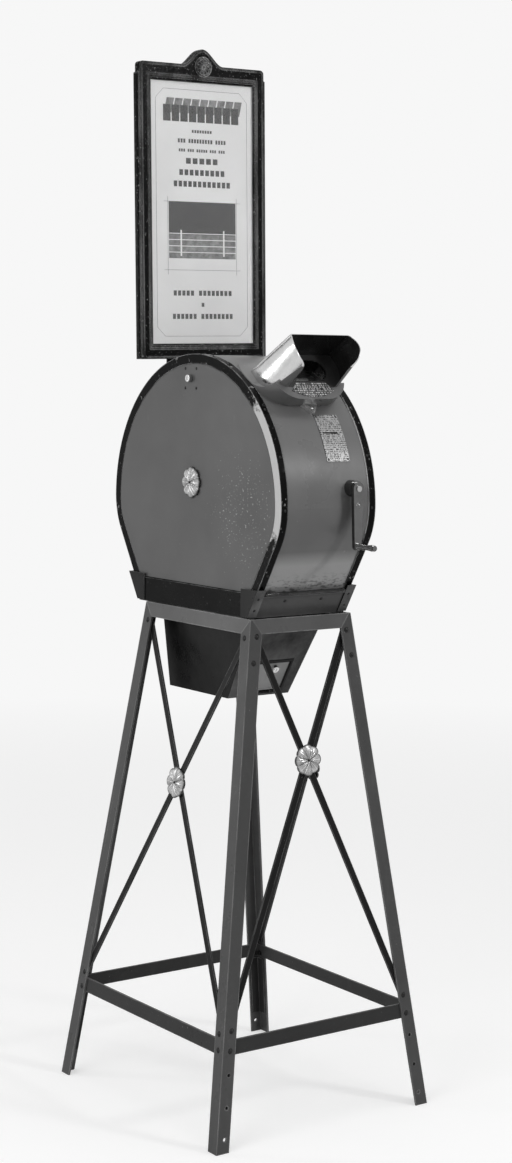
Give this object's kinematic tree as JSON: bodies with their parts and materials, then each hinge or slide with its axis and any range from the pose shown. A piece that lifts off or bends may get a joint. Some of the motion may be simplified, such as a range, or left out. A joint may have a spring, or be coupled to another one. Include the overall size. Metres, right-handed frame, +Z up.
{
  "type": "mutoscope",
  "caption": "Coin-operated drum viewer on an angle-iron stand: viewing hood, hand crank with worm-driven card reel, side access door, coin door with cash box, and framed sign above.",
  "frame": {"origin": "on the floor, at the middle of the overall box left to right and front to back", "axes": "+Z up; -Y is the front with the viewing hood and crank; +X is on the right of someone who stands in front, the crank's side"},
  "size_m": [0.4544, 0.5776, 1.8499],
  "materials": {
    "black_enamel": "semi-gloss black enamel",
    "grey_enamel": "satin grey enamel",
    "nickel": "polished nickel plate",
    "silver_paint": "silver paint on a cast flower",
    "steel": "plain drawn steel",
    "brass": "machined",
    "card": "matt card",
    "dark_wood": "dark stained moulding",
    "clear_glass": "clear glass"
  },
  "bodies": {
    "stand_and_cabinet": {"bottom_rails_front_back": "black_enamel", "bottom_rails_side": "black_enamel", "braces": "black_enamel", "cabinet_rims": "black_enamel", "cabinet_screws": "nickel", "cabinet_wrapper": "grey_enamel", "card_stop": "black_enamel", "cash_box": "steel", "coin_chute": "steel", "coin_door_hinge": "black_enamel", "coin_housing": "black_enamel", "crank_boss": "black_enamel", "hood": "nickel", "hood_baffle": "black_enamel", "hood_catch": "nickel", "hood_collar": "nickel", "hood_lens": "clear_glass", "hood_plate": "nickel", "instruction_plate": "nickel", "lamp": "clear_glass", "lamp_holder": "black_enamel", "leg_back_left": "grey_enamel", "leg_back_right": "grey_enamel", "leg_doublers": "black_enamel", "leg_front_left": "grey_enamel", "leg_front_right": "grey_enamel", "mechanism_frame": "black_enamel", "panel_seats": "black_enamel", "side_panel_right": "grey_enamel", "side_rosette_right": "silver_paint", "sign_back": "dark_wood", "sign_feet": "black_enamel", "sign_frame": "dark_wood", "sign_glass": "clear_glass", "sign_poster": "card", "stand_bolts": "steel", "stand_rosettes": "silver_paint", "top_rails_front_back": "grey_enamel", "top_rails_side": "grey_enamel", "tray_back": "grey_enamel", "tray_ears": "black_enamel", "tray_floor": "black_enamel", "tray_front": "grey_enamel", "tray_side_bands": "black_enamel"},
    "access_door": {"side_panel_left": "grey_enamel", "side_rosette_left": "silver_paint", "panel_screws": "nickel"},
    "side_lock": {"side_lock": "nickel"},
    "coin_door": {"coin_door": "grey_enamel"},
    "coin_lock": {"coin_lock": "nickel"},
    "crank": {"crank_shaft": "steel", "crank_arm": "nickel", "crank_pins": "nickel"},
    "grip": {"grip": "nickel"},
    "reel": {"reel_shaft": "steel", "reel_hub": "dark_wood", "reel_discs": "steel", "card_pack": "card", "worm_wheel": "brass"}
  },
  "joints": [
    {"name": "access_door_tilt", "type": "hinge", "parent": "stand_and_cabinet", "child": "access_door", "pos_m": [-0.0993, 0.03086, 0.919], "axis": [0, -1, 0], "range_deg": [0, 25]},
    {"name": "side_lock_turn", "type": "hinge", "parent": "access_door", "child": "side_lock", "pos_m": [-0.0993, 0.04386, 1.276], "axis": [1, 0, 0], "range_deg": [0, 90]},
    {"name": "coin_door_swing", "type": "hinge", "parent": "stand_and_cabinet", "child": "coin_door", "pos_m": [0, -0.0395, 0.72834], "axis": [1, 0, 0], "range_deg": [0, 95]},
    {"name": "coin_lock_turn", "type": "hinge", "parent": "coin_door", "child": "coin_lock", "pos_m": [0.008, -0.06468, 0.77553], "axis": [0, -0.8545, -0.5194], "range_deg": [0, 90]},
    {"name": "crank_spin", "type": "hinge", "parent": "stand_and_cabinet", "child": "crank", "pos_m": [0.0485, -0.2, 1.096], "axis": [0, 1, 0], "continuous": true},
    {"name": "grip_spin", "type": "hinge", "parent": "crank", "child": "grip", "pos_m": [0.0485, -0.26, 0.999], "axis": [0, 1, 0], "continuous": true},
    {"name": "reel_spin", "type": "hinge", "parent": "stand_and_cabinet", "child": "reel", "pos_m": [0, 0.01186, 1.037], "axis": [1, 0, 0], "continuous": true}
  ],
  "couplings": [
    {"joint": "crank_spin", "follows": "reel_spin", "ratio": 40}
  ]
}
